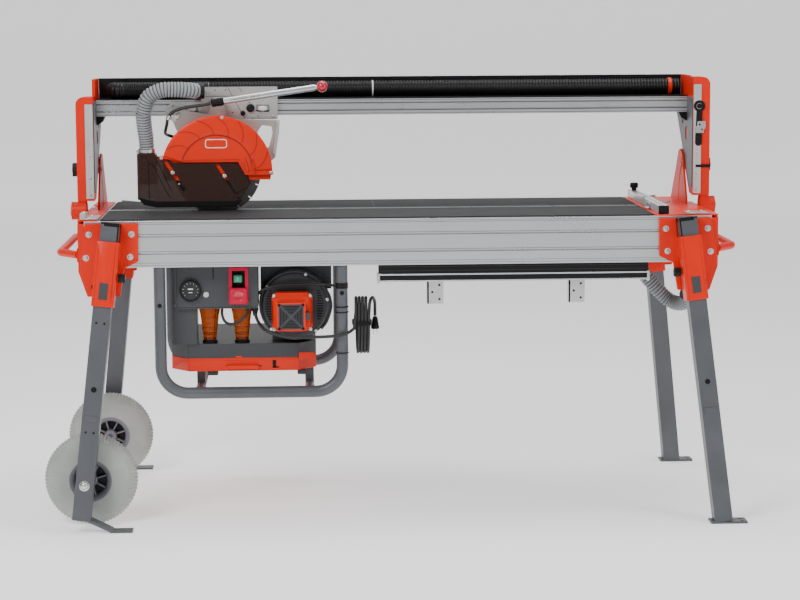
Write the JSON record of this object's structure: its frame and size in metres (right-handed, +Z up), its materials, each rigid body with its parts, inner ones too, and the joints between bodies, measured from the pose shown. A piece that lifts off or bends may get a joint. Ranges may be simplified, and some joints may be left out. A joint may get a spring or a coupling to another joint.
{
  "type": "wet tile saw",
  "caption": "Free-standing bridge tile saw: blade head on a sliding carriage over a rubber-matted table with splayed legs, two wheels and an on-board dust extractor.",
  "frame": {"origin": "on the floor under the middle of the box of the whole saw", "axes": "+X along the table towards the fence end, -Y towards the person using it, +Z up"},
  "size_m": [1.9597, 0.9112, 1.229],
  "materials": {
    "orange_paint": "semi-gloss powder coat",
    "slate_paint": "textured powder coat",
    "aluminium": "brushed, clear anodised",
    "cast_aluminium": "fine cast",
    "zinc": "zinc plated",
    "black_plastic": "moulded",
    "black_hose": "corrugated",
    "black_cord": "matt",
    "mat_rubber": "fine texture",
    "tyre_rubber": "matt",
    "crimson_plastic": "satin",
    "green_plastic": "satin",
    "amber_plastic": "clear amber",
    "smoked_plastic": "clear smoked",
    "grey_hose": "corrugated",
    "orange_plastic": "satin",
    "slate_plastic": "moulded",
    "blade_steel": "ground"
  },
  "bodies": {
    "table": {"front_beam": "aluminium", "rear_beam": "aluminium", "table_deck": "aluminium", "front_mat": "mat_rubber", "rear_mat": "mat_rubber", "left_end_plate": "orange_paint", "right_end_plate": "orange_paint", "end_handle_left": "orange_paint", "end_handle_right": "orange_paint", "underframe": "slate_paint", "control_box": "slate_paint", "cyclone_left": "amber_plastic", "cyclone_right": "amber_plastic", "cyclone_deck": "slate_plastic", "vacuum_housing": "slate_plastic", "vacuum_motor": "orange_plastic", "duct_hose": "grey_hose", "mains_lead": "black_cord", "mains_hank": "black_cord", "mains_plug": "black_plastic", "leg_socket_front_left": "orange_paint", "leg_socket_front_right": "orange_paint", "leg_socket_rear_left": "orange_paint", "leg_socket_rear_right": "orange_paint"},
    "bridge": {"bridge_beam": "aluminium", "hose_tray": "black_plastic", "upright_left": "orange_paint", "upright_right": "orange_paint", "bridge_duct_hose": "black_hose", "stretch_hose": "black_hose", "blade_wrench": "black_plastic"},
    "carriage": {"carriage_plate": "cast_aluminium"},
    "roller_left": {"guide_roller_left": "zinc"},
    "roller_right": {"guide_roller_right": "zinc"},
    "head": {"head_arm": "cast_aluminium", "saw_motor": "black_plastic", "blade_guard": "orange_plastic", "handle_lever": "aluminium", "dust_hose": "grey_hose", "motor_cable": "black_cord"},
    "blade": {"saw_blade": "blade_steel"},
    "shroud": {"blade_shroud": "smoked_plastic"},
    "knob_left": {"tilt_knob_left": "black_plastic"},
    "knob_right": {"tilt_knob_right": "black_plastic"},
    "fence": {"angle_fence": "aluminium"},
    "fence_knob": {"fence_knob": "black_plastic"},
    "tray": {"dust_tray": "orange_plastic"},
    "flap": {"stop_flap": "crimson_plastic"},
    "button": {"start_button": "green_plastic"},
    "side": {"side_table": "black_plastic"},
    "leg_front_left": {"leg_front_left": "slate_paint"},
    "leg_knob_front_left": {"leg_knob_front_left": "black_plastic"},
    "wheel_front": {"wheel_front": "tyre_rubber"},
    "leg_front_right": {"leg_front_right": "slate_paint"},
    "leg_knob_front_right": {"leg_knob_front_right": "black_plastic"},
    "leg_rear_left": {"leg_rear_left": "slate_paint"},
    "leg_knob_rear_left": {"leg_knob_rear_left": "black_plastic"},
    "wheel_rear": {"wheel_rear": "tyre_rubber"},
    "leg_rear_right": {"leg_rear_right": "slate_paint"},
    "leg_knob_rear_right": {"leg_knob_rear_right": "black_plastic"}
  },
  "joints": [
    {"name": "bridge_tilt", "type": "hinge", "parent": "table", "child": "bridge", "pos_m": [0.0178, 0, 0.852], "axis": [-1, 0, 0], "range_deg": [0, 45]},
    {"name": "tilt_knob_left_turn", "type": "hinge", "parent": "bridge", "child": "knob_left", "pos_m": [-0.9122, 0.10601, 0.96371], "axis": [1, 0, 0], "range_deg": [0, 270]},
    {"name": "tilt_knob_right_turn", "type": "hinge", "parent": "bridge", "child": "knob_right", "pos_m": [0.9478, 0.10601, 0.96371], "axis": [1, 0, 0], "range_deg": [0, 270]},
    {"name": "carriage_slide", "type": "slide", "parent": "bridge", "child": "carriage", "axis": [1, 0, 0], "range_m": [0, 1], "deforming": ["stretch_hose"]},
    {"name": "roller_left_spin", "type": "hinge", "parent": "carriage", "child": "roller_left", "pos_m": [-0.5722, 0.0475, 1.142], "axis": [0, 0, 1], "continuous": true},
    {"name": "roller_right_spin", "type": "hinge", "parent": "carriage", "child": "roller_right", "pos_m": [-0.3647, 0.0475, 1.142], "axis": [0, 0, 1], "continuous": true},
    {"name": "head_plunge", "type": "hinge", "parent": "carriage", "child": "head", "pos_m": [-0.6142, 0, 1.125], "axis": [0, -1, 0], "range_deg": [0, 15], "deforming": ["dust_hose"]},
    {"name": "blade_spin", "type": "hinge", "parent": "head", "child": "blade", "pos_m": [-0.4972, 0, 0.966], "axis": [0, 1, 0], "continuous": true},
    {"name": "shroud_slide", "type": "slide", "parent": "head", "child": "shroud", "axis": [-0.5422, 0, 0.8403], "range_m": [0, 0.05]},
    {"name": "leg_slide_front_left", "type": "slide", "parent": "table", "child": "leg_front_left", "axis": [-0.1108, -0.1085, -0.9879], "range_m": [0, 0.2]},
    {"name": "leg_knob_turn_front_left", "type": "hinge", "parent": "table", "child": "leg_knob_front_left", "pos_m": [-0.76225, -0.35369, 0.695], "axis": [1, 0, 0], "range_deg": [0, 270]},
    {"name": "wheel_front_spin", "type": "hinge", "parent": "leg_front_left", "child": "wheel_front", "pos_m": [-0.8502, -0.327, 0.13], "axis": [0, 1, 0], "continuous": true},
    {"name": "leg_slide_front_right", "type": "slide", "parent": "table", "child": "leg_front_right", "axis": [0.1108, -0.1085, -0.9879], "range_m": [0, 0.2]},
    {"name": "leg_knob_turn_front_right", "type": "hinge", "parent": "table", "child": "leg_knob_front_right", "pos_m": [0.79785, -0.35369, 0.695], "axis": [1, 0, 0], "range_deg": [0, 270]},
    {"name": "leg_slide_rear_left", "type": "slide", "parent": "table", "child": "leg_rear_left", "axis": [-0.1108, 0.1085, -0.9879], "range_m": [0, 0.2]},
    {"name": "leg_knob_turn_rear_left", "type": "hinge", "parent": "table", "child": "leg_knob_rear_left", "pos_m": [-0.76225, 0.35369, 0.695], "axis": [1, 0, 0], "range_deg": [0, 270]},
    {"name": "wheel_rear_spin", "type": "hinge", "parent": "leg_rear_left", "child": "wheel_rear", "pos_m": [-0.8502, 0.327, 0.13], "axis": [0, 1, 0], "continuous": true},
    {"name": "leg_slide_rear_right", "type": "slide", "parent": "table", "child": "leg_rear_right", "axis": [0.1108, 0.1085, -0.9879], "range_m": [0, 0.2]},
    {"name": "leg_knob_turn_rear_right", "type": "hinge", "parent": "table", "child": "leg_knob_rear_right", "pos_m": [0.79785, 0.35369, 0.695], "axis": [1, 0, 0], "range_deg": [0, 270]},
    {"name": "fence_swing", "type": "hinge", "parent": "table", "child": "fence", "pos_m": [0.7598, 0.262, 0.8635], "axis": [0, 0, -1], "range_deg": [0, 22.5]},
    {"name": "fence_knob_turn", "type": "hinge", "parent": "fence", "child": "fence_knob", "pos_m": [0.7598, 0.262, 0.887], "axis": [0, 0, 1], "range_deg": [0, 270]},
    {"name": "tray_slide", "type": "slide", "parent": "table", "child": "tray", "axis": [0, -1, 0], "range_m": [0, 0.25]},
    {"name": "stop_flap_hinge", "type": "hinge", "parent": "table", "child": "flap", "pos_m": [-0.4347, -0.2415, 0.652], "axis": [-1, 0, 0], "range_deg": [0, 35]},
    {"name": "start_press", "type": "slide", "parent": "table", "child": "button", "axis": [0, 1, 0], "range_m": [0, 0.003], "stiffness_N_per_m": 400},
    {"name": "side_table_slide", "type": "slide", "parent": "table", "child": "side", "axis": [0, -1, 0], "range_m": [0, 0.3]}
  ],
  "couplings": [
    {"joint": "roller_left_spin", "follows": "carriage_slide", "rad_per_m": 71.429},
    {"joint": "roller_right_spin", "follows": "carriage_slide", "rad_per_m": 71.429}
  ]
}
